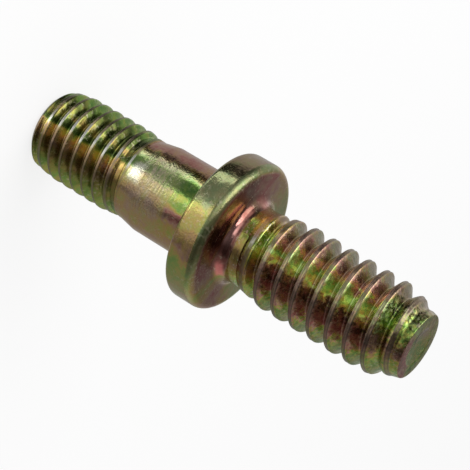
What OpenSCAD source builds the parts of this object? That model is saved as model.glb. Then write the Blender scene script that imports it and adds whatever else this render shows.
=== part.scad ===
// Chainsaw bar stud, one turned and thread-rolled piece of plated steel.
// It stands on the flat end of its nut thread, with its axis along +Z.
// The origin is the centre of that end face, and all sizes are in millimetres.

/* [Nut thread] */
// Crest diameter of the nut thread, a rolled M8
nut_thread_d = 7.9; // [7:0.05:9]
// Pitch of the nut thread
nut_thread_pitch = 1.25; // [1:0.05:1.5]
// Width of each flattened crest
nut_crest_width = 0.26; // [0.15:0.01:0.45]
// Diameter of the flat end face, inside the end chamfer
nut_end_d = 6.3; // [5:0.1:6.5]
// Diameter at the outer edge of the end chamfer
nut_chamfer_d = 7.25; // [7:0.05:7.5]
// Height of the end chamfer
nut_chamfer_height = 0.45; // [0.4:0.05:1]
// Height at which the crests reach the full diameter
nut_lead_height = 2.4; // [1.2:0.1:4]
// Height of the full thread above the end face
nut_thread_height = 8.2; // [5:0.1:14]
// Height over which the grooves die away
nut_runout_height = 2; // [1:0.1:4]

/* [Shank] */
// Diameter of the blank where the nut thread runs out
neck_d = 7.4; // [7:0.05:7.8]
// Height of the cone between neck and shank
cone_height = 1.6; // [0.5:0.1:3]
// Diameter of the plain shank that carries the guide bar
shank_d = 8; // [7.9:0.05:10]
// Height of the plain shank, from the cone to the collar
shank_height = 6.1; // [3:0.1:12]

/* [Collar] */
// Outside diameter of the collar
collar_d = 13.5; // [11:0.1:18]
// Thickness of the collar
collar_thickness = 2.9; // [2:0.1:5]
// Radius round the collar's edge on the bar side
collar_bar_edge = 0.45; // [0.1:0.05:0.6]
// Radius round the collar's edge on the case side
collar_case_edge = 0.8; // [0.1:0.05:1]
// Radius of the fillet at the root of the case end
case_fillet = 1; // [0.3:0.05:1.1]

/* [Case thread] */
// Crest diameter of the coarse thread that screws into the crankcase
case_thread_d = 8; // [7.5:0.05:9]
// Root diameter of the coarse thread
case_root_d = 5.9; // [5.6:0.05:6.5]
// Pitch of the coarse thread
case_thread_pitch = 1.75; // [1.65:0.05:2.5]
// Width of each crest
case_crest_width = 0.4; // [0.15:0.05:0.4]
// Diameter of the plain neck between the fillet and the first turn
case_neck_d = 6.9; // [6.6:0.05:7.2]
// Height of the plain neck above the collar
case_neck_height = 1.7; // [1.2:0.1:3]
// Height over which the first turn grows out of the neck
case_lead_height = 2.9; // [1.8:0.1:4]
// Height of the thread, from the neck to the foot of the rounded taper
case_thread_height = 12.2; // [8:0.1:20]
// Height of the rounded taper
case_taper_height = 2.8; // [1.5:0.1:4]
// Diameter at the top of the rounded taper, where the blunt tip begins
case_tip_foot_d = 6.1; // [5.9:0.1:6.6]
// Height of the blunt tip
case_tip_height = 0.75; // [0.5:0.05:1.5]
// Diameter of the end face
case_tip_d = 5.7; // [4.5:0.1:5.8]
// Diameter of the shallow dish in the end face
dish_d = 3.6; // [1:0.1:4]
// Depth of the dish
dish_depth = 0.35; // [0.1:0.05:0.6]

/* [Hidden] */
$fn = 96;

// Each flank takes this share of the way from the crest's edge to the middle of the groove
flank_share = 0.87;
// The nut thread is this share of its pitch deep, less than an M8's 0.61 as its crests are flattened
nut_depth_share = 0.55;
// How far a crest or a root is rounded, as a share of the thread's depth
crest_round_share = 0.06;
root_round_share = 0.1;
// The end faces reach this far before the first groove starts
plain_tip = 0.3;
// Each thread's end goes this far inside the plain piece beside it
embed = 0.2;
// and stands this far inside that piece's own surface where it enters
tuck = 0.02;
// The plain core inside each thread lies this far below the grooves
core_gap = 0.6;
// and each buried end of a thread this far outside that core
core_cover = 0.1;
// Points along the rounded taper
taper_steps = 5;
// How blunt the rounded taper is: 1 is a cosine, less is blunter
taper_power = 0.8;
// Steps round one turn of each thread
nut_steps = 36;
case_steps = 48;
// Height of a crest above the end face on the +X side
nut_crest_z = 0.33;
case_crest_z = 25.27;

nut_crest_r = nut_thread_d / 2;
nut_root_r = nut_crest_r - nut_depth_share * nut_thread_pitch;
nut_end_r = nut_end_d / 2;
nut_chamfer_r = nut_chamfer_d / 2;
neck_r = neck_d / 2;
shank_r = shank_d / 2;
collar_r = collar_d / 2;
case_crest_r = case_thread_d / 2;
case_root_r = case_root_d / 2;
case_neck_r = case_neck_d / 2;
case_foot_r = case_tip_foot_d / 2;
case_tip_r = case_tip_d / 2;

neck_z = nut_thread_height + nut_runout_height;
shank_z = neck_z + cone_height;
collar_z = shank_z + shank_height;
case_z = collar_z + collar_thickness;
case_thread_z = case_z + case_neck_height;
taper_z = case_thread_z + case_thread_height;
tip_z = taper_z + case_taper_height;
end_z = tip_z + case_tip_height;
// Heights where the two threads meet the plain tips
nut_start_z = plain_tip;
case_stop_z = end_z - plain_tip;

nut_tip_r = nut_end_r + (nut_chamfer_r - nut_end_r) * plain_tip / nut_chamfer_height;
case_last_r = case_tip_r + (case_foot_r - case_tip_r) * plain_tip / case_tip_height;
nut_core_r = nut_root_r - core_gap;
case_core_r = case_root_r - core_gap;

// Radius limits of the nut thread, as pairs of height and radius
nut_crest_limit = [
    [nut_start_z - embed, nut_core_r + core_cover],
    [nut_start_z, nut_tip_r - tuck],
    [nut_chamfer_height, nut_chamfer_r],
    [nut_lead_height, nut_crest_r],
    [nut_thread_height, nut_crest_r],
    [nut_thread_height + nut_runout_height / 2, neck_r + (nut_crest_r - neck_r) / 6],
    [neck_z, neck_r - tuck],
    [neck_z + embed, nut_core_r + core_cover],
];
nut_root_limit = [
    [nut_start_z, nut_tip_r],
    [nut_start_z + nut_thread_pitch / 2, nut_root_r],
    [nut_thread_height - nut_thread_pitch / 2, nut_root_r],
    [neck_z, neck_r],
];

// Radius limits of the case thread
case_crest_limit = concat(
    [
        [case_thread_z - embed, case_core_r + core_cover],
        [case_thread_z, case_neck_r - tuck],
        [case_thread_z + case_lead_height, case_crest_r],
    ],
    [for (i = [0 : taper_steps]) let (share = i / taper_steps) [
        taper_z + share * case_taper_height,
        case_foot_r + (case_crest_r - case_foot_r) * pow(cos(90 * share), taper_power),
    ]],
    [
        [case_stop_z, case_last_r - tuck],
        [case_stop_z + embed, case_core_r + core_cover],
    ]
);
case_root_limit = [
    [case_thread_z, case_neck_r],
    [case_thread_z + case_lead_height / 2, case_root_r],
    [tip_z, case_root_r],
    [case_stop_z, case_last_r],
];

// One pitch of thread as pairs of height and radius: crest, flank, root, flank
function thread_profile(pitch, crest_width, crest_r, root_r) =
    let (
        depth = crest_r - root_r,
        crest_edge = crest_width / 2,
        foot = crest_edge + flank_share * (pitch / 2 - crest_edge)
    ) [
        [0, crest_r],
        [crest_edge, crest_r - crest_round_share * depth],
        [foot, root_r + root_round_share * depth],
        [pitch / 2, root_r],
        [pitch - foot, root_r + root_round_share * depth],
        [pitch - crest_edge, crest_r - crest_round_share * depth],
    ];

// A right-handed thread from bottom to top. Its corners lie on helical lines, one line
// for each corner of the profile, and the two ends are cut square. The crests are cut off
// at the crest limit, but above shrink_z the whole profile shrinks with it and stays sharp.
module thread(bottom, top, pitch, profile, crest_z, crest_limit, root_limit, shrink_z, steps) {
    corners = len(profile);
    first_turn = floor((bottom - crest_z) / pitch) - 2;
    last_turn = ceil((top - crest_z) / pitch) + 1;
    smallest = pitch / 200;
    full_r = max([for (corner = profile) corner[1]]);
    root_r = min([for (corner = profile) corner[1]]);

    // Line k passes step i at this height
    function line_z(k, i) =
        crest_z + pitch * (first_turn + floor(k / corners) + i / steps) + profile[k % corners][0];
    function shrunk(r, crest_r) = root_r + (r - root_r) * (crest_r - root_r) / (full_r - root_r);
    function limited(r, z) =
        let (
            crest_r = lookup(z, crest_limit),
            free_r = z > shrink_z ? shrunk(r, crest_r) : r
        ) min(max(free_r, lookup(z, root_limit)), crest_r);
    function inside(k, i) = line_z(k, i) > bottom + smallest && line_z(k, i) < top - smallest;

    lines = (last_turn - first_turn) * corners;
    // The lines that cross each step between the two ends
    crossing = [for (i = [0 : steps - 1]) [for (k = [0 : lines - 1]) if (inside(k, i)) k]];
    // Where each step's points start in the list of points
    starts = [for (i = 0, n = 0; i < steps; n = n + len(crossing[i]) + 2, i = i + 1) n];
    heights = [for (i = [0 : steps - 1])
        concat([[bottom, 0]], [for (k = crossing[i]) [line_z(k, i), profile[k % corners][1]]], [[top, 0]])];
    points = [for (i = [0 : steps - 1]) for (h = heights[i])
        let (r = limited(h[1], h[0]), a = 360 * i / steps) [r * cos(a), r * sin(a), h[0]]];

    // Index of the point where line k meets step i, held at the end past either end.
    // After a full turn a line goes on as the one a pitch higher.
    function point_of(k, i) =
        i == steps ? point_of(k + corners, 0)
        : k < crossing[i][0] ? starts[i]
        : starts[i] + 1 + min(k - crossing[i][0], len(crossing[i]));

    skin = [for (i = [0 : steps - 1]) for (k = [-corners : lines - 1])
        let (
            a = point_of(k, i),
            b = point_of(k, i + 1),
            c = point_of(k + 1, i + 1),
            d = point_of(k + 1, i)
        ) each concat(b == c ? [] : [[a, c, b]], a == d ? [] : [[a, d, c]])];
    floor_ring = [for (i = [0 : steps - 1]) starts[i]];
    roof_ring = [for (i = [steps - 1 : -1 : 0]) starts[i] + len(crossing[i]) + 1];
    polyhedron(points, concat(skin, [floor_ring, roof_ring]), convexity = 10);
}

module nut_thread() {
    thread(
        bottom = nut_start_z - embed,
        top = neck_z + embed,
        pitch = nut_thread_pitch,
        profile = thread_profile(nut_thread_pitch, nut_crest_width, nut_crest_r, nut_root_r),
        crest_z = nut_crest_z,
        crest_limit = nut_crest_limit,
        root_limit = nut_root_limit,
        shrink_z = neck_z,
        steps = nut_steps
    );
}

module case_thread() {
    thread(
        bottom = case_thread_z - embed,
        top = case_stop_z + embed,
        pitch = case_thread_pitch,
        profile = thread_profile(case_thread_pitch, case_crest_width, case_crest_r, case_root_r),
        crest_z = case_crest_z,
        crest_limit = case_crest_limit,
        root_limit = case_root_limit,
        shrink_z = taper_z,
        steps = case_steps
    );
}

// Half section of everything that is turned: the two tips, neck, cone, shank and collar
module turned_outline() {
    difference() {
        union() {
            polygon([
                [0, 0],
                [nut_end_r, 0],
                [nut_tip_r, nut_start_z],
                [nut_core_r, nut_start_z],
                [nut_core_r, neck_z],
                [neck_r, neck_z],
                [shank_r, shank_z],
                [shank_r, collar_z],
                [collar_r - collar_bar_edge, collar_z],
                [collar_r - collar_bar_edge, collar_z + collar_bar_edge],
                [collar_r, collar_z + collar_bar_edge],
                [collar_r, case_z - collar_case_edge],
                [collar_r - collar_case_edge, case_z - collar_case_edge],
                [collar_r - collar_case_edge, case_z],
                [case_neck_r + case_fillet, case_z],
                [case_neck_r, case_z + case_fillet],
                [case_neck_r, case_thread_z],
                [case_core_r, case_thread_z],
                [case_core_r, case_stop_z],
                [case_last_r, case_stop_z],
                [case_tip_r, end_z],
                [0, end_z],
            ]);
            translate([collar_r - collar_bar_edge, collar_z + collar_bar_edge])
                circle(r = collar_bar_edge);
            translate([collar_r - collar_case_edge, case_z - collar_case_edge])
                circle(r = collar_case_edge);
        }
        translate([case_neck_r + case_fillet, case_z + case_fillet])
            circle(r = case_fillet);
    }
}

// The dish is the cap of a sphere that passes through its rim and its deepest point
module end_dish() {
    dish_r = (pow(dish_d / 2, 2) + pow(dish_depth, 2)) / (2 * dish_depth);
    translate([0, 0, end_z - dish_depth + dish_r]) sphere(r = dish_r);
}

module bar_stud() {
    color([0.62, 0.56, 0.34]) difference() {
        union() {
            rotate_extrude() turned_outline();
            nut_thread();
            case_thread();
        }
        end_dish();
    }
}

bar_stud();
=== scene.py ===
# %% [markdown]
# # A chainsaw bar stud
#
# A bar stud holds the guide bar of a chainsaw. Its coarse end is screwed into the crankcase, its thick
# collar stops it there, the bar's slot drops over the plain shank, and a nut closes on the fine thread at
# the other end. It is turned and thread-rolled from one piece of steel, then zinc plated and dipped in
# yellow chromate.
#
# This notebook loads the CAD model as a fixed frame, builds a finer stud of the same form, gives it its
# plating, and photographs it. The CAD stud's threads are made of some 9,000 flat facets, which would show
# as flats in such a bright finish, so a smoother mesh stands for it in the picture.

# %% Load the CAD model
import math

import bmesh
import bpy
import numpy as np
from mathutils import Matrix, Vector


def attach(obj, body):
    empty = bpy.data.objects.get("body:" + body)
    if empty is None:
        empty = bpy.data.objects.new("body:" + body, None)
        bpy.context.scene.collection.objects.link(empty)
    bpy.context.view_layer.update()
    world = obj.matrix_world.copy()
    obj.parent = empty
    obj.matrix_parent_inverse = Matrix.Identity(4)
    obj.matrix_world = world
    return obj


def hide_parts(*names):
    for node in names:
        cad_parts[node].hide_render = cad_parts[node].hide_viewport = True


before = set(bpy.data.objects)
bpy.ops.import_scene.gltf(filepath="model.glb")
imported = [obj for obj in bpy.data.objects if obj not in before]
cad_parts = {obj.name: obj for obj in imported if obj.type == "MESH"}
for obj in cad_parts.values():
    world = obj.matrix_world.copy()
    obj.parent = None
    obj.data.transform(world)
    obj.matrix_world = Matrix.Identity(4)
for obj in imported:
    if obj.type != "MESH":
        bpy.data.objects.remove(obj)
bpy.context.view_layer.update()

# %% [markdown]
# ## Sums as nodes
#
# Geometry Nodes and shader nodes do sums in the same way, with one Math node for each operator, and a
# formula of twenty such nodes is hard to read. So one small class wraps a socket, and Python's own
# operators add the Math nodes: the formula in the script is the formula in the tree. Sums of plain numbers
# stay in Python.


# %% Sockets that know arithmetic
class Value:
    """A socket of a node tree, on which + - * / add Math nodes."""

    def __init__(self, maker, socket):
        self.maker = maker
        self.socket = socket

    def __add__(self, other):
        return self.maker.math("ADD", self, other)

    def __radd__(self, other):
        return self.maker.math("ADD", other, self)

    def __sub__(self, other):
        return self.maker.math("SUBTRACT", self, other)

    def __rsub__(self, other):
        return self.maker.math("SUBTRACT", other, self)

    def __mul__(self, other):
        return self.maker.math("MULTIPLY", self, other)

    def __rmul__(self, other):
        return self.maker.math("MULTIPLY", other, self)

    def __truediv__(self, other):
        return self.maker.math("DIVIDE", self, other)

    def __rtruediv__(self, other):
        return self.maker.math("DIVIDE", other, self)


# %% [markdown]
# Every other node comes from one method, which sets the node's settings first, then its sockets. A few
# short methods on top of it name what this scene asks for again and again: a slide from one value to
# another, a band that is full between two places, a mix of two colours or two numbers, and a table of
# places with the value at each. A Math node would turn a colour grey, so colours only ever go through Mix.


# %% One method for every node
class Maker:
    """Adds nodes to one tree, and returns their outputs as Values."""

    def __init__(self, tree):
        self.tree = tree

    def node(self, kind, settings, inputs):
        """A new node, with its settings, then a plain value, a link or a list of links for each socket."""
        made = self.tree.nodes.new(kind)
        for name, setting in settings.items():
            if name == "stops":
                self.set_stops(made.color_ramp, setting)
            else:
                setattr(made, name, setting)
        for name, given in inputs.items():
            self.set_input(made.inputs[name], given)
        return made

    def set_stops(self, ramp, stops):
        """Gives a colour ramp its (place, colour) stops."""
        while len(ramp.elements) > 1:
            ramp.elements.remove(ramp.elements[-1])
        for number, (place, colour) in enumerate(stops):
            stop = ramp.elements[0] if number == 0 else ramp.elements.new(place)
            stop.position = place
            stop.color = (*colour, 1)

    def set_input(self, socket, given):
        """Links a socket to one Value or to a list of them, or sets it to a plain value."""
        if isinstance(given, Value):
            self.tree.links.new(given.socket, socket)
        elif isinstance(given, list):
            for one in given:
                self.tree.links.new(one.socket, socket)
        else:
            socket.default_value = given

    def out(self, kind, settings, inputs, output=0):
        """One output of a new node, as a Value."""
        return Value(self, self.node(kind, settings, inputs).outputs[output])

    def math(self, operation, *terms):
        """A Math node on plain numbers or Values."""
        return self.out("ShaderNodeMath", {"operation": operation}, dict(enumerate(terms)))

    def slide(self, value, start, end, low=0, high=1):
        """low where value is start or less, high where it is end or more, and even between."""
        return self.out("ShaderNodeMapRange", {}, {
            "Value": value, "From Min": start, "From Max": end, "To Min": low, "To Max": high}, "Result")

    def band(self, value, start, full, fade, end):
        """1 where value is between full and fade, 0 where it is before start or past end."""
        return self.slide(value, start, full) * self.slide(value, fade, end, 1, 0)

    def mix(self, factor, first, second, blend="MIX"):
        """Two colours mixed: the first where factor is 0, the second where it is 1."""
        return self.out("ShaderNodeMix", {"data_type": "RGBA", "blend_type": blend}, {
            0: factor, 6: first, 7: second}, 2)

    def tint(self, factor, colour, plain):
        """A colour turned towards a plain one, as far as factor says."""
        return self.mix(factor, colour, (*plain, 1))

    def number(self, factor, first, second):
        """Two numbers mixed in the same way."""
        return self.out("ShaderNodeMix", {"data_type": "FLOAT"}, {0: factor, 2: first, 3: second}, 0)

    def table(self, value, pairs):
        """What a table of (place, result) pairs gives at value, straight between the pairs."""
        result = pairs[0][1]
        for (start, low), (end, high) in zip(pairs, pairs[1:]):
            if high != low:
                result = self.slide(value, start, end, 0, high - low) + result
        return result


# %% [markdown]
# ## The sizes
#
# The stud stands on the flat end of its nut thread, so its axis is Z and its heights are read upwards from
# there. They repeat the CAD model's sizes, in millimetres. A lathe turns everything but the threads, so the
# turned parts are a list of corners, each with its distance from the axis, its height and the radius that
# rounds it. The tool and the plating leave no edge quite sharp, so corners that the CAD model keeps sharp
# get a tenth of a millimetre here.

# %% Sizes of the stud
MM = 0.001
END_HEIGHT = 38.25
FOOT_RADIUS = 3.15
SHANK_RADIUS = 4.0
SHANK_BOTTOM = 11.8
COLLAR_RADIUS = 6.75
COLLAR_BOTTOM = 17.9
COLLAR_TOP = 20.8
END_RADIUS = 2.85
DISH_RADIUS = 1.8
DISH_DEPTH = 0.35
DISH_EDGE = 0.04

# Where each thread's strip meets the turned parts, as (radius, height)
nut_tip = (3.467, 0.3)
nut_neck = (3.7, 10.2)
case_neck = (3.45, 22.5)
case_tip = (2.93, 37.95)

# Corners of the turned parts, as (radius, height, rounding)
nut_tip_corners = [(0, 0, 0), (FOOT_RADIUS, 0, 0.1), (*nut_tip, 0)]
middle_corners = [
    (*nut_neck, 0),
    (SHANK_RADIUS, SHANK_BOTTOM, 0.5),
    (SHANK_RADIUS, COLLAR_BOTTOM, 0.1),
    (COLLAR_RADIUS, COLLAR_BOTTOM, 0.45),
    (COLLAR_RADIUS, COLLAR_TOP, 0.8),
    (case_neck[0], COLLAR_TOP, 1),
    (*case_neck, 0)]
print("stud:", END_HEIGHT, "mm high,", 2 * COLLAR_RADIUS, "mm across the collar")

# %% [markdown]
# An arc at a corner touches both of its sides. Its middle lies on the line that halves the corner's angle,
# and each point on it is a weighted sum of the arms to its two ends, with sines as weights, which spaces
# the points evenly. The dish in the end face is a slice of a ball, whose radius follows from the dish's
# width and depth.


# %% Turned outlines
def rounded(corners, steps=10):
    """The (radius, height) points of an outline, with an arc of the given steps at each rounded corner."""
    points = []
    for here, (radius, height, rounding) in enumerate(corners):
        if not rounding:
            points.append((radius, height))
            continue
        corner = np.array((radius, height))
        back = np.array(corners[here - 1][:2]) - corner
        ahead = np.array(corners[here + 1][:2]) - corner
        back = back / np.linalg.norm(back)
        ahead = ahead / np.linalg.norm(ahead)
        half = math.acos(float(np.clip(back @ ahead, -1, 1))) / 2
        middle = corner + (back + ahead) / np.linalg.norm(back + ahead) * rounding / math.sin(half)
        start = corner + back * rounding / math.tan(half) - middle
        end = corner + ahead * rounding / math.tan(half) - middle
        turn = math.pi - 2 * half
        for step in range(steps + 1):
            share = step / steps
            arm = (start * math.sin((1 - share) * turn) + end * math.sin(share * turn)) / math.sin(turn)
            points.append(tuple(middle + arm))
    return points


DISH_POINTS = 14
ball = (DISH_RADIUS ** 2 + DISH_DEPTH ** 2) / (2 * DISH_DEPTH)
dish_angles = np.linspace(math.asin((DISH_RADIUS - DISH_EDGE) / ball), 0, DISH_POINTS)
dish_points = [
    (ball * math.sin(angle), END_HEIGHT - DISH_DEPTH + ball * (1 - math.cos(angle))) for angle in dish_angles]
case_tip_corners = [
    (*case_tip, 0),
    (END_RADIUS, END_HEIGHT, 0.12),
    (DISH_RADIUS, END_HEIGHT, DISH_EDGE),
    (*dish_points[0], 0)]
turned_outlines = [
    rounded(nut_tip_corners), rounded(middle_corners), rounded(case_tip_corners) + dish_points[1:]]
print("points on the turned outlines:", [len(points) for points in turned_outlines])

# %% [markdown]
# ## The two threads, as a rule
#
# A thread is a groove that climbs one pitch in every turn. A mesh could be cut from rings, but then a crest
# would cross the rings at a slant and its edge would come out as a row of small steps. Here each row of
# points climbs with the thread instead: the grid is a long strip, laid round the axis like tape round a
# handle, and each turn's lower edge meets the upper edge of the turn below. Every row then keeps one place
# on the thread's profile.
#
# Rolling raises the first turns slowly and lets the last ones die away. So the profile's radius is held
# between two limits that change with height, one for the crests and one for the roots. At both ends of a
# thread they meet, and that is where the strip joins the turned parts. The coarse thread also has a rounded
# taper at its end, on which the whole profile moves inwards, so that its crests stay narrow.
#
# A thread's crest height is the height at which one of its crests passes the +X side, where the strip
# starts and ends. Its shrink is the crest's radius by height, and its rows are the points across one turn.

# %% Sizes of the threads
NUT_CREST = 3.95
NUT_ROOT = 3.2625
CASE_CREST = 4.0
CASE_ROOT = 2.95


def rounded_taper(steps=6, start=34.7, height=2.8, foot=3.05, crest=CASE_CREST, fullness=0.8):
    """Crest limit of the rounded taper at the coarse end, as (height, radius) pairs."""
    pairs = []
    for step in range(steps + 1):
        share = step / steps
        swell = max(math.cos(math.pi / 2 * share), 0) ** fullness
        pairs.append((start + height * share, foot + (crest - foot) * swell))
    return pairs


nut_thread = {
    "bottom": nut_tip[1], "top": nut_neck[1], "pitch": 1.25, "crest height": 0.33, "crest width": 0.26,
    "root": NUT_ROOT, "rows": 20, "shrink": [(0, NUT_CREST)],
    "crest limit": [
        nut_tip[::-1], (0.45, 3.625), (2.4, NUT_CREST), (8.2, NUT_CREST), (9.2, 3.742), nut_neck[::-1]],
    "root limit": [nut_tip[::-1], (0.925, NUT_ROOT), (7.575, NUT_ROOT), nut_neck[::-1]]}
case_thread = {
    "bottom": case_neck[1], "top": case_tip[1], "pitch": 1.75, "crest height": 25.27, "crest width": 0.4,
    "root": CASE_ROOT, "rows": 26, "shrink": rounded_taper(),
    "crest limit": [case_neck[::-1], (25.4, CASE_CREST), *rounded_taper(), case_tip[::-1]],
    "root limit": [case_neck[::-1], (23.95, CASE_ROOT), (37.5, CASE_ROOT), case_tip[::-1]]}
for thread in (nut_thread, case_thread):
    turns_below = math.ceil((thread["crest height"] - thread["bottom"]) / thread["pitch"])
    thread["start"] = thread["crest height"] - thread["pitch"] * turns_below
    thread["turns"] = math.ceil((thread["top"] - thread["start"]) / thread["pitch"]) + 1
    print("a thread of", thread["turns"], "turns of tape from", thread["bottom"], "to", thread["top"], "mm")

# %% [markdown]
# Across one turn the profile is a table too: how far the metal stands above the root, from 0 to 1, by the
# distance from the middle of the crest. The dies fold the metal up from both sides, so a rolled crest has a
# faint seam along its middle and stands full a little to each side of it. The flanks then fall straight to
# a rounded root.


# %% The profile of a rolled crest
def profile(thread, flank=0.87):
    """Pairs of distance from the crest's middle and share of the full height.

    The flank ends at the given share of the way from the crest's edge to the root's middle.
    """
    edge = thread["crest width"] / 2
    half_pitch = thread["pitch"] / 2
    foot = edge + flank * (half_pitch - edge)
    seam, full = 0.97, 1
    return [
        (0, seam), (0.25 * edge, seam), (0.65 * edge, full), (edge, 0.95), (1.3 * edge, 0.86),
        (foot, 0.09), ((foot + half_pitch) / 2, 0.02), (half_pitch, 0)]


print("profile of the coarse thread:", [(round(place, 2), share) for place, share in profile(case_thread)])

# %% [markdown]
# ## The node tree
#
# Both strips and the three turned parts start as flat grids. Along a grid's X the points go once round the
# axis, and along its Y they go up the stud. For a strip, the height follows from the turn number and the
# radius from the thread's rule. For a turned part, each row takes its radius and height from one point of
# the outline, which comes in as the modifier's own mesh.
#
# Each point also keeps its relief, which is its share of the thread's full height. The plating needs it
# later, because crests rub bare and film gathers in grooves. A turned part has no crest or root, so it gets
# a half.


# %% Lay a grid round the axis
TURNED_RELIEF = 0.5


def grid(make, columns, rows):
    """A flat grid, with its points' shares round the axis and up the stud."""
    mesh = make.out("GeometryNodeMeshGrid", {}, {
        "Size X": 1, "Size Y": 1, "Vertices X": columns, "Vertices Y": rows})
    place = make.node("ShaderNodeSeparateXYZ", {}, {0: make.out("GeometryNodeInputPosition", {}, {})})
    return mesh, Value(make, place.outputs[0]) + 0.5, Value(make, place.outputs[1]) + 0.5


def wrap(make, mesh, around, radius, height, relief):
    """Lays a grid round the axis and keeps each point's relief."""
    angle = around * (2 * math.pi)
    kept = make.out("GeometryNodeStoreNamedAttribute", {"data_type": "FLOAT", "domain": "POINT"}, {
        "Geometry": mesh, "Name": "relief", "Value": relief})
    place = make.out("ShaderNodeCombineXYZ", {}, {
        0: radius * make.math("COSINE", angle), 1: radius * make.math("SINE", angle), 2: height})
    return make.out("GeometryNodeSetPosition", {}, {"Geometry": kept, "Position": place})


# %% A strip for a thread, a row of rings for a turned part
def thread_strip(make, columns, thread, pitch):
    """The strip of one thread, held between its limits."""
    turns = thread["turns"]
    mesh, around, up = grid(make, columns, turns * thread["rows"] + 1)
    free_height = (up * turns + around - 1) * pitch + thread["start"]
    height = make.math("MAXIMUM", make.math("MINIMUM", free_height, thread["top"]), thread["bottom"])
    to_crest = make.math("PINGPONG", up * turns, 0.5) * pitch
    relief = make.table(to_crest, profile(thread))
    full_height = make.table(height, thread["shrink"]) - thread["root"]
    free_radius = relief * full_height + thread["root"]
    crests = make.table(height, thread["crest limit"])
    roots = make.table(height, thread["root limit"])
    radius = make.math("MINIMUM", make.math("MAXIMUM", free_radius, roots), crests)
    return wrap(make, mesh, around, radius, height, relief)


def turned_part(make, columns, outline, first, count):
    """The rings of one turned part, from its points in the outline mesh."""
    mesh, around, up = grid(make, columns, count)
    row = make.math("ROUND", up * (count - 1) + first)
    position = make.out("GeometryNodeInputPosition", {}, {})
    point = make.out("GeometryNodeSampleIndex", {"data_type": "FLOAT_VECTOR", "domain": "POINT"}, {
        "Geometry": outline, "Value": position, "Index": row})
    parts = make.node("ShaderNodeSeparateXYZ", {}, {0: point})
    radius, height = Value(make, parts.outputs[0]), Value(make, parts.outputs[2])
    return wrap(make, mesh, around, radius, height, TURNED_RELIEF)


# %% [markdown]
# The tree's sizes are its named inputs. The five parts are joined, and merging the points that coincide
# closes the seams and the poles. The export drops instances and reads materials from the mesh, so the tree
# ends in Realize Instances and Set Material.

# %% Build the stud's tree
POINTS_AROUND = 144
MERGE_DISTANCE = 0.002
tree_inputs = {
    "Points around": ("NodeSocketInt", POINTS_AROUND),
    "Nut pitch": ("NodeSocketFloat", nut_thread["pitch"]),
    "Case pitch": ("NodeSocketFloat", case_thread["pitch"]),
    "Scale": ("NodeSocketFloat", MM)}


def stud_tree(plating):
    """Geometry Nodes that turn the outline mesh into the stud."""
    tree = bpy.data.node_groups.new("bar stud", "GeometryNodeTree")
    make = Maker(tree)
    tree.interface.new_socket("Outline", in_out="INPUT", socket_type="NodeSocketGeometry")
    for name, (kind, default) in tree_inputs.items():
        tree.interface.new_socket(name, in_out="INPUT", socket_type=kind).default_value = default
    tree.interface.new_socket("Stud", in_out="OUTPUT", socket_type="NodeSocketGeometry")
    given = make.node("NodeGroupInput", {}, {})
    size = {name: Value(make, given.outputs[name]) for name in ["Outline", *tree_inputs]}

    columns = size["Points around"] + 1
    parts = [
        thread_strip(make, columns, nut_thread, size["Nut pitch"]),
        thread_strip(make, columns, case_thread, size["Case pitch"])]
    first = 0
    for points in turned_outlines:
        parts.append(turned_part(make, columns, size["Outline"], first, len(points)))
        first += len(points)

    joined = make.out("GeometryNodeJoinGeometry", {}, {"Geometry": parts})
    closed = make.out("GeometryNodeMergeByDistance", {}, {"Geometry": joined, "Distance": MERGE_DISTANCE})
    smooth = make.out("GeometryNodeSetShadeSmooth", {}, {"Geometry": closed})
    scale = make.out("ShaderNodeCombineXYZ", {}, {axis: size["Scale"] for axis in range(3)})
    sized = make.out("GeometryNodeTransform", {}, {"Geometry": smooth, "Scale": scale})
    real = make.out("GeometryNodeRealizeInstances", {}, {"Geometry": sized})
    plated = make.out("GeometryNodeSetMaterial", {}, {"Geometry": real, "Material": plating})
    make.node("NodeGroupOutput", {}, {"Stud": plated})
    return tree


# %% [markdown]
# ## The plating
#
# Zinc itself is a pale grey. The chromate dip lays a film on it that is thinner than a wavelength of light,
# and its colour follows its thickness: gold where it is usual, green where it is a little thicker, pink and
# copper where the bath ran off. An interference shader would shift those colours with the camera, which an
# exported model can't keep. So the film is painted as it lies on the real piece, by height and by side, and
# noise on object coordinates breaks its patches up. Painted shade, painted highlights and painted glints go
# into the same colour, where the cells below say so.
#
# Every pattern asks the same questions of a point: how high it is, how many degrees it lies round from the
# camera's side, how far from the axis, and on which part of the stud. One class answers them once. A broad,
# soft noise pushes heights and sides about, so that no patch ends on a straight line, and on the coarse
# thread a finer one tears the patches into flecks.

# %% Where a point lies
WARP_HEIGHT = 0.5
WARP_DEGREES = 32
FLECK_DEGREES = 60
FULL_CASE_THREAD = 25


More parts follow.
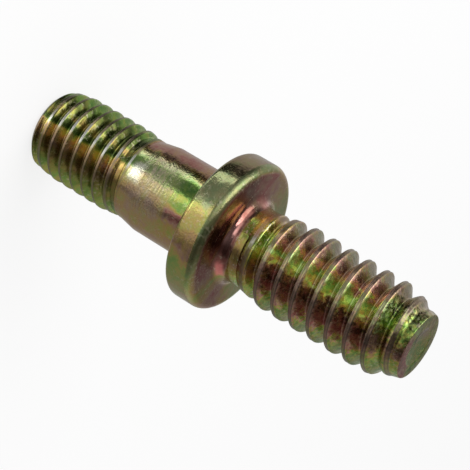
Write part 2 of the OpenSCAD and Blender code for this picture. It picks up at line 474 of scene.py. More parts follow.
class Coat:
    """The plating's tree, and the places that its patterns read, in millimetres and degrees."""

    def __init__(self, tree):
        self.make = make = Maker(tree)
        place = make.out("ShaderNodeTexCoord", {}, {}, "Object")
        self.millimetres = make.out("ShaderNodeMapping", {"vector_type": "POINT"}, {
            "Vector": place, "Scale": (1 / MM, 1 / MM, 1 / MM)})
        parts = make.node("ShaderNodeSeparateXYZ", {}, {0: self.millimetres})
        self.x, self.y, self.z = (Value(make, parts.outputs[axis]) for axis in range(3))
        self.radius = make.math("SQRT", self.x * self.x + self.y * self.y)

        nut_end, case_start = nut_neck[1], case_neck[1]
        on_nut = make.slide(self.z, nut_end - 0.2, nut_end, 1, 0)
        self.on_thread = on_nut + make.slide(self.z, case_start - 0.1, case_start + 0.2)
        self.on_case = make.slide(self.z, case_start - 0.1, FULL_CASE_THREAD)
        self.on_end = make.slide(self.z, END_HEIGHT - 0.05, END_HEIGHT - 0.03)
        self.relief = make.out("ShaderNodeAttribute", {
            "attribute_type": "GEOMETRY", "attribute_name": "relief"}, {}, "Fac")

        self.warp = self.noise(0.5, detail=3, roughness=0.6) - 0.5
        flecks = self.noise(1.7, detail=2, roughness=0.6, distortion=0.5, shift=(5, 9, 2)) - 0.5
        flecks = flecks * self.on_case
        bearing = make.math("ARCTAN2", self.x, 0 - self.y) * (180 / math.pi)
        self.side = bearing + self.warp * WARP_DEGREES + flecks * FLECK_DEGREES
        self.height = self.z + self.warp * WARP_HEIGHT

    def noise(self, scale, detail=3.0, roughness=0.55, distortion=0.0, shift=None, stretch=(1, 1, 1)):
        """Noise from 0 to 1. A shift keeps two noises from lying alike, and a stretch makes streaks."""
        where = self.millimetres
        if shift is not None:
            where = self.make.out("ShaderNodeMapping", {"vector_type": "POINT"}, {
                "Vector": where, "Location": shift, "Scale": stretch})
        return self.make.out("ShaderNodeTexNoise", {"noise_dimensions": "3D"}, {
            "Vector": where, "Scale": scale, "Detail": detail, "Roughness": roughness,
            "Distortion": distortion}, "Fac")

    def zone(self, start, end, soft=0.15):
        """1 between two heights, with both edges soft."""
        return self.make.band(self.height, start - soft, start + soft, end - soft, end + soft)


# %% [markdown]
# ### How the film lies
#
# The bath drains down the hanging stud and dries last in its corners, so each stretch between two corners
# has its own colours. Eight zones, one for each stretch, were matched to the photograph. Each has three
# tables by degrees round from the camera's side: the tone, which is the film's thickness from pink and
# copper at 0 over gold to green at 1, the dark streaks, which are painted shade laid where the metal lies
# in shade or mirrors dark surroundings, and the grey ones where the film is thin, which on the shank also
# whiten its two highlight lines as painted sheen. The back, which the photograph doesn't show, carries on
# quietly from both sides.

# %% Film on the nut thread
FILM_COLOURS = [
    (0.0, (0.42, 0.15, 0.13)), (0.2, (0.5, 0.29, 0.21)), (0.4, (0.54, 0.35, 0.12)),
    (0.55, (0.45, 0.42, 0.1)), (0.75, (0.27, 0.42, 0.09)), (1.0, (0.1, 0.26, 0.06))]
nut_thread_film = {
    "heights": (-1, 9.9),
    "tone": [
        (-180, 0.55), (-90, 0.74), (-60, 0.78), (-34, 0.72), (-27, 0.52), (-21, 0.54), (-14, 0.8), (-8, 0.8),
        (-3, 0.48), (10, 0.38), (22, 0.4), (34, 0.5), (60, 0.68), (120, 0.55), (180, 0.55)],
    "painted_shade": [
        (-120, 0.15), (-62, 0.2), (-50, 0.8), (-34, 0.88), (-28, 0.55), (-21, 0.55), (-15, 0.8), (-8, 0.72),
        (-2, 0.12), (12, 0.1), (20, 0.55), (58, 0.5), (80, 0.15)],
    "grey": [(-150, 0.1), (-90, 0.2), (-70, 0), (120, 0), (150, 0.1)]}

# %% Film on the shank, its lower and its upper stretch
# On the shank the grey near -36 degrees, and on the lower stretch also near -6, lies under the two highlight
# lines and whitens them: painted sheen.
lower_shank_film = {
    "heights": (9.9, 15),
    "tone": [
        (-180, 0.45), (-90, 0.2), (-50, 0.16), (-40, 0.5), (-32, 0.66), (-26, 0.8), (-10, 0.84), (-6, 0.5),
        (4, 0.56), (18, 0.45), (26, 0.3), (40, 0.4), (80, 0.34), (180, 0.45)],
    "painted_shade": [(-28, 0), (-24, 0.25), (-12, 0.3), (-8, 0.2), (-2, 0.12), (20, 0.05), (25, 0.3), (30, 0)],
    "grey": [
        (-150, 0.1), (-70, 0), (-42, 0), (-37, 0.5), (-30, 0.5), (-26, 0), (-9, 0), (-6, 0.4), (-2, 0.1),
        (150, 0.1)]}
upper_shank_film = {
    "heights": (15, COLLAR_BOTTOM),
    "tone": [
        (-180, 0.45), (-90, 0.2), (-50, 0.12), (-40, 0.5), (-32, 0.66), (-26, 0.84), (-10, 0.88), (-6, 0.7),
        (0, 0.72), (9, 0.72), (14, 0.4), (18, 0.08), (25, 0.1), (32, 0.4), (44, 0.55), (60, 0.3),
        (180, 0.45)],
    "painted_shade": [(-28, 0), (-24, 0.3), (-12, 0.3), (-8, 0.15), (12, 0), (19, 0.1), (23, 0.55), (28, 0)],
    "grey": [(-150, 0.1), (-70, 0), (-40, 0), (-36, 0.4), (-30, 0.4), (-26, 0), (150, 0.1)]}

# %% Film on the collar's side, on its case face with the fillet, and on the neck
collar_side_film = {
    "heights": (COLLAR_BOTTOM, 20.5),
    "tone": [
        (-180, 0.45), (-90, 0.3), (-48, 0.4), (-25, 0.7), (-8, 0.6), (8, 0.52), (20, 0.38), (29, 0.26),
        (38, 0.66), (60, 0.55), (180, 0.45)],
    "painted_shade": [
        (-120, 0), (-40, 0.2), (-34, 0.35), (-22, 0.3), (-14, 0.1), (-5, 0), (22, 0), (26, 0.3), (34, 0)],
    "grey": [(-150, 0.4), (-90, 0.5), (-12, 0.6), (-6, 0.1), (30, 0.1), (70, 0.4)]}
collar_face_film = {
    "heights": (20.5, 21.7),
    "tone": [
        (-180, 0.6), (-140, 0.7), (-105, 0.4), (-80, 0.05), (-60, 0.1), (-44, 0.1), (-24, -0.1), (20, -0.05),
        (50, 0.02), (75, 0.6), (95, 0.1), (130, 0.6), (180, 0.6)],
    "painted_shade": [
        (-75, 0), (-50, 0.6), (-25, 0.6), (-18, 0.5), (-2, 0.5), (6, 0.6), (30, 0.5), (60, 0.45), (110, 0.3),
        (140, 0)],
    "grey": [(-150, 0.6), (-100, 0.3), (-70, 0), (110, 0), (150, 0.6)]}
case_neck_film = {
    "heights": (21.7, 24.8),
    "tone": [
        (-180, 0.5), (-70, 0.3), (-50, 0.4), (-25, 0.7), (0, 0.55), (20, 0.4), (40, 0.3), (60, 0.6),
        (90, 0.7), (180, 0.5)],
    "painted_shade": [(-120, 0.1), (-30, 0.1), (-10, 0.35), (8, 0.3), (20, 0.4), (60, 0.15), (90, 0.1)],
    "grey": [(-150, 0.3), (-60, 0.4), (-45, 0), (60, 0), (150, 0.3)]}

# %% Film on the case thread and on its tip
case_thread_film = {
    "heights": (24.8, 35.4),
    "tone": [
        (-180, 0.5), (-90, 0.4), (-60, 0.45), (-46, 0.18), (-32, 0.2), (-24, 0.42), (-18, 0.64), (-8, 0.68),
        (1, 0.5), (10, 0.2), (50, 0.14), (60, 0.66), (90, 0.7), (180, 0.5)],
    "painted_shade": [
        (-120, 0.1), (-40, 0.2), (-20, 0.1), (3, 0), (11, 0.68), (22, 0.64), (30, 0.25), (56, 0.2), (64, 0.4),
        (90, 0.3), (150, 0.1)],
    "grey": [
        (-150, 0.4), (-70, 0.85), (-50, 0.2), (-20, 0.1), (-8, 0.3), (2, 0.2), (8, 0), (60, 0), (90, 0.3),
        (150, 0.4)]}
case_tip_film = {
    "heights": (35.4, 40),
    "tone": [
        (-180, 0.5), (-90, 0.4), (-60, 0.4), (-46, 0.7), (-20, 0.75), (0, 0.7), (18, 0.3), (30, 0.2),
        (50, 0.66), (90, 0.7), (180, 0.5)],
    "painted_shade": [
        (-120, 0.1), (-60, 0.3), (-50, 0.85), (-24, 0.85), (-14, 0.6), (0, 0.5), (12, 0.7), (24, 0.5),
        (34, 0.2), (64, 0.35), (90, 0.2), (150, 0.1)],
    "grey": [(-150, 0.4), (-70, 0.85), (-50, 0.4), (-30, 0), (60, 0), (90, 0.3), (150, 0.4)]}

# %% Add the zones up
film_zones = [
    nut_thread_film, lower_shank_film, upper_shank_film, collar_side_film, collar_face_film, case_neck_film,
    case_thread_film, case_tip_film]


def film_sums(coat):
    """The film's tone, painted shade (the dark streaks) and grey streaks, each summed over the zones."""
    sums = {"tone": 0, "painted_shade": 0, "grey": 0}
    for zone in film_zones:
        inside = coat.zone(*zone["heights"])
        for name in sums:
            sums[name] = sums[name] + inside * coat.make.table(coat.side, zone[name])
    return sums


print("film zones:", len(film_zones))

# %% [markdown]
# ### The end face and the collar's edge
#
# Two places break the zones' rule. The cut end face is flat, so a direction round the axis says little
# about it: its film is an even grey gold, pinker on the near side, under even painted shade, and the far
# wall of the dish is painted green and darker, a painted reflection with painted shade. The collar's
# rounded edge is painted grey and green, under painted shade that is strongest where it would mirror the
# bright strip.

# %% Film on the end face and the collar's edge
WANDER = 3
GREEN_TONE = 0.76
END_TONE = 0.55
END_PAINTED_SHADE = 0.4
END_GREY = 0.45
EDGE_GREY = 0.6
EDGE_SIDES = (-100, -80, 36, 70)
EDGE_PAINTED_SHADE = [(-60, 0.5), (-46, 0.66), (-26, 0.66), (-12, 0.5)]


def end_and_edge(coat, film):
    """The tone, painted shade and grey streaks with those of the end face and the collar's edge put in."""
    make = coat.make
    wander = coat.warp * WANDER
    # The far wall of the dish: a painted reflection in green, with a little painted shade.
    dish_painted_reflection = make.slide(coat.radius, 2.0, 2.7, 1, 0) * make.slide(coat.z, 37, 37.1)
    dish_painted_reflection = dish_painted_reflection * make.slide(coat.y - coat.x * 0.25 + wander, -0.6, 0.3)
    dish_painted_reflection = dish_painted_reflection * make.slide(coat.x + wander, -1.4, -0.5)
    pink = coat.on_end * make.slide(coat.x * 0.5 - coat.y + wander, 0.3, 1.2) * make.slide(coat.x, -0.8, 0.2)
    # The collar's rounded edge: grey and green, under painted shade.
    edge = make.slide(coat.z, 20.0, 20.15, 0, 0.8) * make.slide(coat.radius, 6.15, 6.4)
    edge = edge * make.band(coat.side, *EDGE_SIDES)

    tone = make.number(coat.on_end, film["tone"], END_TONE - pink * 0.5)
    tone = make.number(make.math("MAXIMUM", dish_painted_reflection, edge), tone, GREEN_TONE)
    # Painted shade of the end face, the dish and the collar's edge.
    painted_shade_here = coat.on_end * END_PAINTED_SHADE + dish_painted_reflection * 0.15 + edge * make.table(coat.side, EDGE_PAINTED_SHADE)
    grey_here = coat.on_end * END_GREY - dish_painted_reflection * END_GREY - pink * 0.3 + edge * EDGE_GREY
    painted_shade = make.math("MAXIMUM", film["painted_shade"] * (1 - coat.on_end), painted_shade_here)
    grey = make.math("MAXIMUM", film["grey"] * (1 - coat.on_end), grey_here)
    return tone, painted_shade, grey


# %% [markdown]
# ### Spots in the film
#
# Close up, the film isn't even: it has broad clouds and fine spots. On the coarse thread the spots are
# stronger, and the painted shade has gaps with colour in them. The tone then picks a colour from a ramp,
# and the grey streaks and the painted shade are laid over it. The plain colours of this cell and the next
# ones are named for what they stand for on the stud.

# %% Colour of the film
# Grey of thin film, and the painted sheen on the shank's highlight lines.
GREY_FILM_AND_SHEEN = (0.38, 0.37, 0.31)
PAINTED_SHADE_BLACK = (0.03, 0.025, 0.01)


def film_colour(coat):
    """The film's colour, with its clouds, spots, grey streaks and painted shade."""
    make = coat.make
    tone, painted_shade, grey = end_and_edge(coat, film_sums(coat))
    clouds = coat.noise(0.9, detail=3, roughness=0.5, distortion=0.6, shift=(11, 3, 7)) - 0.5
    spots = coat.noise(4.0, detail=2, roughness=0.5) - 0.5
    tone = tone + clouds * 0.7 + spots * (coat.on_case * 0.5 + 0.25)
    gaps = coat.noise(2.4, detail=2, roughness=0.6, distortion=0.4, shift=(2, 7, 4))
    gaps = make.slide(gaps, 0.4, 0.6, -0.25, 0.6)
    painted_shade = painted_shade * (1 - coat.on_case * gaps)
    colour = make.out("ShaderNodeValToRGB", {"stops": FILM_COLOURS}, {"Fac": tone})
    colour = make.tint(grey * 0.8, colour, GREY_FILM_AND_SHEEN)
    # Painted shade: the dark streaks turn the colour towards near black.
    return make.tint(painted_shade, colour, PAINTED_SHADE_BLACK)


# %% [markdown]
# ### Wear
# Studs rub on each other in the plating barrel and in their box. The shank shows it as a mottled, brownish
# patch on the side that faces the camera, and the whole stud as tiny straw-coloured specks. The specks are
# made stronger on the neck of the coarse thread as painted glints, and the cone below the shank gets a pale
# painted highlight.

# %% Worn patch, specks, neck glints and cone highlight
WORN_BROWN = (0.5, 0.41, 0.3)
STRAW = (0.62, 0.55, 0.4)
CONE_HIGHLIGHT_PALE = (0.8, 0.78, 0.66)
WORN_SIDES = (-48, -30, 30, 60)


def worn_places(coat):
    """How worn the shank is, and how thick the specks lie, from 0 to 1."""
    make = coat.make
    worn = coat.zone(11.2, 14.4, 1.2) * make.band(coat.side, *WORN_SIDES)
    specks = make.slide(coat.noise(4.2, detail=1, roughness=0.5, shift=(3, 1, 8)), 0.54, 0.68)
    specks = specks * make.slide(coat.noise(0.8, detail=2), 0.42, 0.6)
    return worn, specks


def add_wear_and_neck_glints(coat, colour, worn, specks):
    """The film's colour with the worn patch and the specks on it, the specks stronger on the neck as painted
    glints.
    """
    make = coat.make
    mottled = coat.noise(2.0, detail=3, roughness=0.65, distortion=0.3, shift=(3, 1, 8), stretch=(1, 1, 3))
    mottled = make.slide(mottled, 0.4, 0.6)
    colour = make.tint(worn * (mottled * 0.5 + 0.25), colour, WORN_BROWN)
    # On the neck of the coarse thread the specks are made stronger: painted glints.
    neck_painted_glints = coat.zone(21.9, 24.6, 0.3)
    return make.tint(specks * (neck_painted_glints * 0.45 + 0.35), colour, STRAW)


def add_painted_cone_highlight(coat, colour):
    """The pale painted highlight on the cone below the shank."""
    make = coat.make
    # A pale painted highlight on the cone, on the side towards the camera.
    cone_highlight = coat.zone(10.4, 11.6, 0.25) * make.slide(coat.side, -22, -14, 0, 0.7)
    cone_highlight = cone_highlight * make.slide(coat.side, 2, 12, 1, 0)
    return make.tint(cone_highlight, colour, CONE_HIGHLIGHT_PALE)


# %% [markdown]
# ### Bright spots
#
# Two kinds of painted highlight are laid on the colour. On the coarse thread, just above its middle line in
# the picture, small glints are painted a clear yellow green. In the fillet between collar and neck a bright
# pink highlight is painted, with a gap in it and a redder painted highlight below the gap. Painting them
# keeps them in place from every side, as colour does.

# %% Painted green glints and fillet highlight
GLINT_GREEN = (0.66, 0.85, 0.36)
GLINT_SIDES = (-30, -18, 4, 12)
FILLET_HIGHLIGHT_PINK = (0.95, 0.5, 0.44)
FILLET_HIGHLIGHT_RED = (0.8, 0.24, 0.22)
FILLET_HEIGHTS = (20.9, 21.05, 21.35, 21.6)
FILLET_SHINE = [(-26, 0), (-8, 0.6), (4, 0.85), (10, 0.6), (20, 0), (36, 0), (46, 0.7), (64, 0.7), (74, 0)]


def add_painted_green_glints(coat, colour):
    """Painted yellow green glints along the coarse thread, fewer on its tip."""
    make = coat.make
    # Painted glints: small yellow green highlights placed by noise.
    spots = coat.noise(1.5, detail=1, roughness=0.5, distortion=0.4, shift=(8, 2, 6))
    spots = make.slide(spots, 0.53, 0.63) * coat.on_case
    spots = spots * make.band(coat.side, *GLINT_SIDES) * make.slide(coat.z, 35.8, 36.4, 1, 0.3)
    return make.tint(spots * 0.6, colour, GLINT_GREEN)


def add_fillet_highlight(coat, colour):
    """The painted pink highlight of the fillet, with the redder painted highlight below its gap."""
    make = coat.make
    # A painted highlight along the fillet, pink, and redder below its gap.
    fillet_highlight = make.band(coat.z, *FILLET_HEIGHTS) * make.table(coat.side, FILLET_SHINE)
    highlight_pinks = make.mix(make.slide(coat.side, 14, 36), (*FILLET_HIGHLIGHT_PINK, 1), (*FILLET_HIGHLIGHT_RED, 1))
    return make.mix(fillet_highlight, colour, highlight_pinks)


# %% [markdown]
# ### Crests
#
# The crests of both threads are dull brown lines. On the nut thread a stretch of them carries a pale painted
# glint, and on the coarse thread painted shade darkens them, most towards the lower side. The relief that
# the mesh carries says where a crest is.

# %% Colour of the crests
CREST_BROWN = (0.32, 0.24, 0.19)
CREST_GLINT = (0.8, 0.82, 0.78)
CREST_SHADE = (0.06, 0.04, 0.03)


def crest_line(coat):
    """1 on the crests of both threads."""
    return coat.make.slide(coat.relief, 0.95, 0.985) * coat.on_thread


def add_crests(coat, colour, crest):
    """The colour with the crest lines on it, a painted glint on the nut thread and painted shade on the
    coarse one.
    """
    make = coat.make
    colour = make.tint(crest * 0.65, colour, CREST_BROWN)
    # A pale painted glint on a stretch of the nut thread's crests.
    crest_glint = crest * (1 - coat.on_case) * make.slide(coat.side, -28, -20, 0, 0.7)
    crest_glint = crest_glint * make.slide(coat.side, -6, 2, 1, 0)
    colour = make.tint(crest_glint, colour, CREST_GLINT)
    # Painted shade on the coarse thread's crests, strongest towards the lower side.
    crest_shade = crest * coat.on_case * make.slide(coat.side, -10, 30, 0.3, 0.5)
    return make.tint(crest_shade, colour, CREST_SHADE)


# %% [markdown]
# ### Roughness and grain
#
# Plated steel is semi-bright: clear streaks of light, with soft edges. It is duller where it is worn, on
# the cut end and on the collar's tumbled edge, and on the coarse thread at the foot of each groove and on
# each crest's shoulder.
#
# The grain is a bump map a few hundredths of a millimetre deep. Rolled threads are gently uneven, the
# coarse one more so, while the turned parts carry fine rings from the lathe, which are a noise that is
# squeezed along the axis.

# %% Roughness
COLLAR_EDGE_HEIGHTS = (20.0, 20.2, 21.0, 21.2)


def roughness(coat, worn, specks, crest):
    """How dull the surface is, from about 0.1 to 0.6."""
    make = coat.make
    collar_edge = make.band(coat.z, *COLLAR_EDGE_HEIGHTS) * make.slide(coat.radius, 5.8, 6.1)
    duller = [
        (specks, 0.1), (worn, 0.12), (coat.on_end, 0.15), (coat.on_thread, 0.08), (crest, 0.1),
        (collar_edge, 0.14)]
    rough = make.slide(coat.noise(1.4, detail=3, roughness=0.6), 0.3, 0.7, 0.12, 0.22)
    for place, more in duller:
        rough = rough + place * more
    groove = make.slide(coat.relief, 0.03, 0.12, 0.2, 0)
    shoulder = make.slide(coat.relief, 0.75, 0.88, 0, 0.2) * make.slide(coat.relief, 0.93, 0.96, 1, 0)
    return rough + (groove + shoulder) * coat.on_case


# %% Grain
GRAIN_DEPTH = 0.03 * MM


def grain(coat, worn):
    """The surface's unevenness, as a share of the grain's depth."""
    make = coat.make
    uneven = coat.noise(1.4, detail=1, roughness=0.3) * (coat.on_thread * 1.8 + 1.4)
    rolled = coat.noise(2.8, detail=1, roughness=0.4, shift=(4, 4, 1)) * coat.on_case * 1.1
    rings = coat.noise(1.0, detail=2, roughness=0.5, shift=(0, 0, 0), stretch=(0.7, 0.7, 6.0))
    lathe = coat.noise(6.0, detail=1, roughness=0.5) * 0.55 + rings * 0.8
    lathe = lathe * (1 - coat.on_thread) * (worn * 1.6 + 1)
    lathe = lathe * make.slide(coat.z, 20.6, 20.9, 1, 0.35)
    return uneven + rolled + lathe


# %% Make the plating
def plated_steel():
    """The plated steel of the whole stud."""
    material = bpy.data.materials.new("plated_steel")
    material.use_nodes = True
    material.node_tree.nodes.clear()
    coat = Coat(material.node_tree)
    worn, specks = worn_places(coat)
    crest = crest_line(coat)
    colour = add_wear_and_neck_glints(coat, film_colour(coat), worn, specks)
    colour = add_fillet_highlight(coat, add_painted_green_glints(coat, colour))
    colour = add_crests(coat, add_painted_cone_highlight(coat, colour), crest)
    bump = coat.make.out("ShaderNodeBump", {}, {
        "Strength": 0.6, "Distance": GRAIN_DEPTH, "Height": grain(coat, worn)}, "Normal")
    shader = coat.make.out("ShaderNodeBsdfPrincipled", {}, {
        "Base Color": colour, "Metallic": 1.0, "Roughness": roughness(coat, worn, specks, crest),
        "Normal": bump}, "BSDF")
    coat.make.node("ShaderNodeOutputMaterial", {}, {"Surface": shader})
    return material


plating = plated_steel()
print("plating:", len(plating.node_tree.nodes), "nodes")

# %% [markdown]
# ## Run the tree
#
# A modifier reads a mesh, so the outline's points go into one, and the modifier's inputs are set by their
# sockets' identifiers before it first runs. Its result is then copied out as a plain mesh, in its place and
# unturned, and the object with the modifier is removed.

# %% Run the tree and keep the plain mesh
outline_points = [(radius, 0, height) for points in turned_outlines for radius, height in points]
outline_mesh = bpy.data.meshes.new("outline")
outline_mesh.from_pydata(outline_points, [], [])
maker_object = bpy.data.objects.new("outline", outline_mesh)
bpy.context.scene.collection.objects.link(maker_object)
modifier = maker_object.modifiers.new("bar stud", "NODES")
modifier.node_group = stud_tree(plating)
for item in modifier.node_group.interface.items_tree:
    if item.in_out == "INPUT" and item.name in tree_inputs:
        modifier[item.identifier] = tree_inputs[item.name][1]
evaluated = maker_object.evaluated_get(bpy.context.evaluated_depsgraph_get())
stud_mesh = bpy.data.meshes.new_from_object(evaluated)
bpy.data.objects.remove(maker_object)
stud_mesh.name = "stud"
stud = bpy.data.objects.new("stud", stud_mesh)
bpy.context.scene.collection.objects.link(stud)
print("stud:", len(stud_mesh.vertices), "points")

# %% [markdown]
# ## Is it closed, and which way does it face?
#
# A mesh that is made by a rule is quickly proved. In a closed mesh each edge has two faces, and the volume
# that the faces enclose is positive if they look outwards.

# %% Check the mesh
check = bmesh.new()
check.from_mesh(stud_mesh)
open_edges = sum(1 for edge in check.edges if len(edge.link_faces) != 2)
if check.calc_volume(signed=True) < 0:
    bmesh.ops.reverse_faces(check, faces=check.faces)
triangles = sum(len(face.verts) - 2 for face in check.faces)
volume = check.calc_volume(signed=True) / MM ** 3
print("stud:", len(check.faces), "faces,", triangles, "triangles,", open_edges, "open edges,",
      round(volume, 1), "cubic mm")
check.to_mesh(stud_mesh)
check.free()

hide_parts("bar_stud")
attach(stud, "root")

# %% [markdown]
# ## Floor
#
# The photograph has a plain white ground. A large white sheet does for the floor. The stud stands upright
# on it, while the photograph's camera is tilted so far that the stud seems to lie across the picture.
#
# To the camera most of the sheet's white is its own glow, so that it stays as white as the ground of the
# photograph, and the rest takes the light and keeps the stud's soft shadow. The metal doesn't see the
# sheet: it would mirror one even white there, where the real stud mirrors a room.

# %% White sheet
WHITE = (1, 1, 1, 1)
PAPER = (0.9, 0.9, 0.9, 1)
FLOOR_HALF = 3.0
GLOW_SHARE = 0.8


def white_sheet():
    """White paper that glows to the camera and is plain paper to everything else."""
    material = bpy.data.materials.new("white sheet")
    material.use_nodes = True
    material.node_tree.nodes.clear()
    make = Maker(material.node_tree)
    path = make.node("ShaderNodeLightPath", {}, {})
    rays = Value(make, path.outputs["Is Camera Ray"]) + Value(make, path.outputs["Is Transmission Ray"])
    seen = make.math("MINIMUM", rays, 1)
    paper = make.out("ShaderNodeBsdfDiffuse", {}, {"Color": PAPER})
    glow = make.out("ShaderNodeEmission", {}, {"Color": WHITE, "Strength": 1.0})
    sheet = make.out("ShaderNodeMixShader", {}, {0: seen * GLOW_SHARE, 1: paper, 2: glow})
    make.node("ShaderNodeOutputMaterial", {}, {"Surface": sheet})
    return material


floor_mesh = bpy.data.meshes.new("floor")
floor_corners = [(FLOOR_HALF * x, FLOOR_HALF * y, 0) for x, y in ((-1, -1), (1, -1), (1, 1), (-1, 1))]
floor_mesh.from_pydata(floor_corners, [], [(0, 1, 2, 3)])
floor_mesh.materials.append(white_sheet())
floor = bpy.data.objects.new("floor", floor_mesh)
bpy.context.scene.collection.objects.link(floor)
floor.visible_glossy = False
print("floor:", 2 * FLOOR_HALF, "m square")

# %% [markdown]
# ## What the metal mirrors
#
# A bright metal shows its surroundings more than its own colour. A photographer puts white and grey cards
# round such a piece, so that it gets long light and dark streaks. The world does that here: it is white to
# the camera, and to the metal it is a studio of cards, which differ by bearing, in degrees from the
# camera's side, and by how far up a ray looks, from -1 straight down to 1 straight up.
#
# Three rings of cards follow one another from low to high. The camera looks down on the stud, so upright
# sides such as the shank's mirror the low ring, which gives them their long streaks. Flanks and rounded
# edges that lean up a little mirror the level ring, and flat faces that look straight up mirror the high
# one. A dark ceiling closes the top.

# %% Directions in the studio
world = bpy.data.worlds.new("studio")
bpy.context.scene.world = world
world.use_nodes = True
world.node_tree.nodes.clear()
make = Maker(world.node_tree)
towards = make.node("ShaderNodeSeparateXYZ", {}, {0: make.out("ShaderNodeTexCoord", {}, {}, "Generated")})
east, north, up = (Value(make, towards.outputs[axis]) for axis in range(3))
compass = make.math("ARCTAN2", east, 0 - north) / (2 * math.pi) + 0.5


def turn_share(degrees):
    """A bearing as the compass gives it, as a share of a full turn."""
    return (degrees + 180) / 360


def ring(*cards):
    """A ring of cards, from (bearing, brightness) pairs."""
    stops = [(turn_share(bearing), (bright, bright, bright)) for bearing, bright in cards]
    return make.out("ShaderNodeValToRGB", {"stops": stops}, {"Fac": compass})


# %% Three rings of cards and the ceiling
CEILING = (0.1, 0.1, 0.1)
low_ring = ring(
    (-180, 0.5), (-110, 0.45), (-97, 0.3), (-94, 0.03), (-79, 0.03), (-72, 0.3), (-70, 2.4), (-62, 2.4),
    (-58, 0.42), (-30, 0.36), (-22, 0.4), (-14, 1.6), (-5, 1.7), (-1, 0.9), (22, 0.75), (36, 0.5), (43, 0.16),
    (52, 0.3), (90, 0.32), (140, 0.32), (180, 0.5))
level_ring = ring(
    (-180, 0.6), (-162, 0.45), (-150, 0.9), (-124, 0.9), (-112, 0.3), (-96, 0.08), (-62, 0.15), (-48, 0.6),
    (-32, 0.6), (-24, 0.35), (-12, 0.35), (-4, 0.9), (18, 0.8), (28, 0.15), (62, 0.12), (76, 0.3),
    (100, 0.35), (112, 0.6), (136, 0.6), (150, 0.4), (180, 0.6))
high_ring = ring(
    (-180, 0.28), (-165, 0.28), (-130, 0.6), (-80, 0.5), (-60, 0.08), (60, 0.06), (90, 0.4), (130, 0.6),
    (165, 0.28), (180, 0.28))
studio = make.mix(make.slide(up, -0.32, -0.22), low_ring, level_ring)
studio = make.mix(make.slide(up, 0.0, 0.25), studio, high_ring)
studio = make.tint(make.slide(up, 0.75, 0.9), studio, CEILING)

# %% [markdown]
# Four bright shapes are added to the rings. A wide strip on the camera's left lights the flanks and rounded
# edges that look up, a small card low in front puts sparks on those that look down, and two round lamps
# high behind the stud put small highlights where a flat face rounds over towards the camera.

# %% Strip, foot card and two round lamps
strip = {"bearings": (-90, -79.2, -7.2, 3.6), "rises": (0.1, 0.25, 0.55, 0.7), "bright": 1.3}
foot_card = {"bearings": (-19.8, -12.6, 3.6, 10.8), "rises": (-0.85, -0.8, -0.66, -0.6), "bright": 2.0}
for card in (strip, foot_card):
    shape = make.band(compass, *[turn_share(degrees) for degrees in card["bearings"]])
    shape = shape * make.band(up, *card["rises"])
    studio = make.mix(1.0, studio, shape * card["bright"], "ADD")

round_lamps = [
    {"bearing": -160, "rise": 62, "width": 6, "bright": 0.6},
    {"bearing": -176, "rise": 70, "width": 8, "bright": 1.0}]
for round_lamp in round_lamps:
    bearing = math.radians(round_lamp["bearing"])
    rise = math.radians(round_lamp["rise"])
    level = math.cos(rise)
    nearness = east * (math.sin(bearing) * level) - north * (math.cos(bearing) * level) + up * math.sin(rise)
    outer = math.cos(math.radians(round_lamp["width"] * 1.4))
    inner = math.cos(math.radians(round_lamp["width"] * 0.7))
    studio = make.mix(1.0, studio, make.slide(nearness, outer, inner, 0, round_lamp["bright"]), "ADD")

# %% [markdown]
# Light Path tells the kinds of ray apart. The camera sees plain white behind the stud, a mirrored ray sees
# the cards, and every other ray gets an even, soft light, so that the floor isn't striped by the cards.

# %% Share the world out among the rays
SOFT_LIGHT = 0.7
path = make.node("ShaderNodeLightPath", {}, {})
mirrored = make.out("ShaderNodeBackground", {}, {"Color": studio, "Strength": 1.0})
plain = make.out("ShaderNodeBackground", {}, {"Color": WHITE, "Strength": 1.0})
soft = make.out("ShaderNodeBackground", {}, {"Color": WHITE, "Strength": SOFT_LIGHT})
is_glossy = Value(make, path.outputs["Is Glossy Ray"])
is_camera = Value(make, path.outputs["Is Camera Ray"])
unseen = make.out("ShaderNodeMixShader", {}, {0: is_glossy, 1: soft, 2: mirrored})
surface = make.out("ShaderNodeMixShader", {}, {0: is_camera, 1: unseen, 2: plain})
make.node("ShaderNodeOutputWorld", {}, {"Surface": surface})
print("studio:", len(world.node_tree.nodes), "nodes")

# %% [markdown]
# One real lamp, a softbox above and to the left of the camera, gives the light a direction and the stud its
# faint shadow on the floor. It points at a place halfway up the stud.

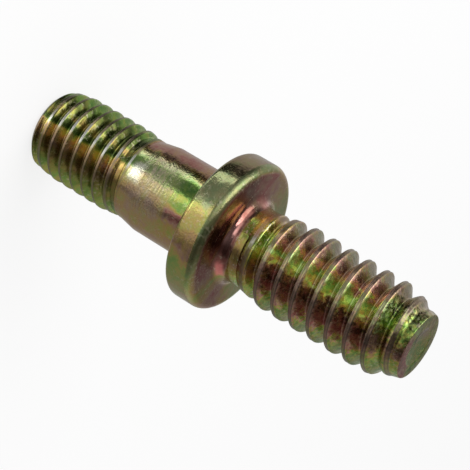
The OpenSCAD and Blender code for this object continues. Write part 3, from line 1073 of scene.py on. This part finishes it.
# %% Lamp
SOFTBOX_WATTS = 0.35
lamp_data = bpy.data.lights.new("softbox", "AREA")
lamp_data.shape = "RECTANGLE"
lamp_data.size = 0.25
lamp_data.size_y = 0.12
lamp_data.energy = SOFTBOX_WATTS
lamp = bpy.data.objects.new("softbox", lamp_data)
bpy.context.scene.collection.objects.link(lamp)
lamp.location = (-0.16, -0.05, 0.2)
lamp_aim = Vector((0, 0, 0.02))
lamp.rotation_euler = (lamp_aim - lamp.location).to_track_quat("-Z", "Y").to_euler()
print("softbox:", lamp_data.energy, "W")

# %% [markdown]
# ## The camera
#
# The camera was found from the photograph by fitting a pinhole camera to the stud's outline, to the crest
# lines of both threads and to the end face. It stands 135 mm from the stud, 23.6 degrees above square to
# the axis, and is rolled so that the axis runs from the upper left to the lower right. Its own axes make a
# rotation matrix: right, up and backwards in the picture, written as directions in the scene.

# %% Camera
FOCAL_PIXELS = 1633.8
PICTURE_PIXELS = 470
SENSOR_WIDTH = 36
elevation = math.radians(23.636)
roll = math.radians(31.204)
distance = 135 * MM
sideways = 0.056 * MM
aim = Vector((0, 0, 19.918)) * MM

along = Vector((0, math.sin(elevation), math.cos(elevation)))
across = Vector((1, 0, 0))
view = Vector((0, math.cos(elevation), -math.sin(elevation)))
right = math.cos(roll) * along - math.sin(roll) * across
down = math.sin(roll) * along + math.cos(roll) * across
eye = aim - view * distance + sideways * (math.sin(roll) * right - math.cos(roll) * down)

camera_data = bpy.data.cameras.new("camera")
camera_data.sensor_width = SENSOR_WIDTH
camera_data.lens = SENSOR_WIDTH * FOCAL_PIXELS / PICTURE_PIXELS
camera_data.clip_start = 0.01
camera = bpy.data.objects.new("camera", camera_data)
bpy.context.scene.collection.objects.link(camera)
rotation = Matrix((right, -down, -view)).transposed()
camera.matrix_world = Matrix.Translation(eye) @ rotation.to_4x4()
bpy.context.scene.camera = camera
bpy.context.scene.view_settings.view_transform = "Standard"
print("camera at", [round(value / MM, 1) for value in eye], "mm, lens", round(camera_data.lens, 1), "mm")
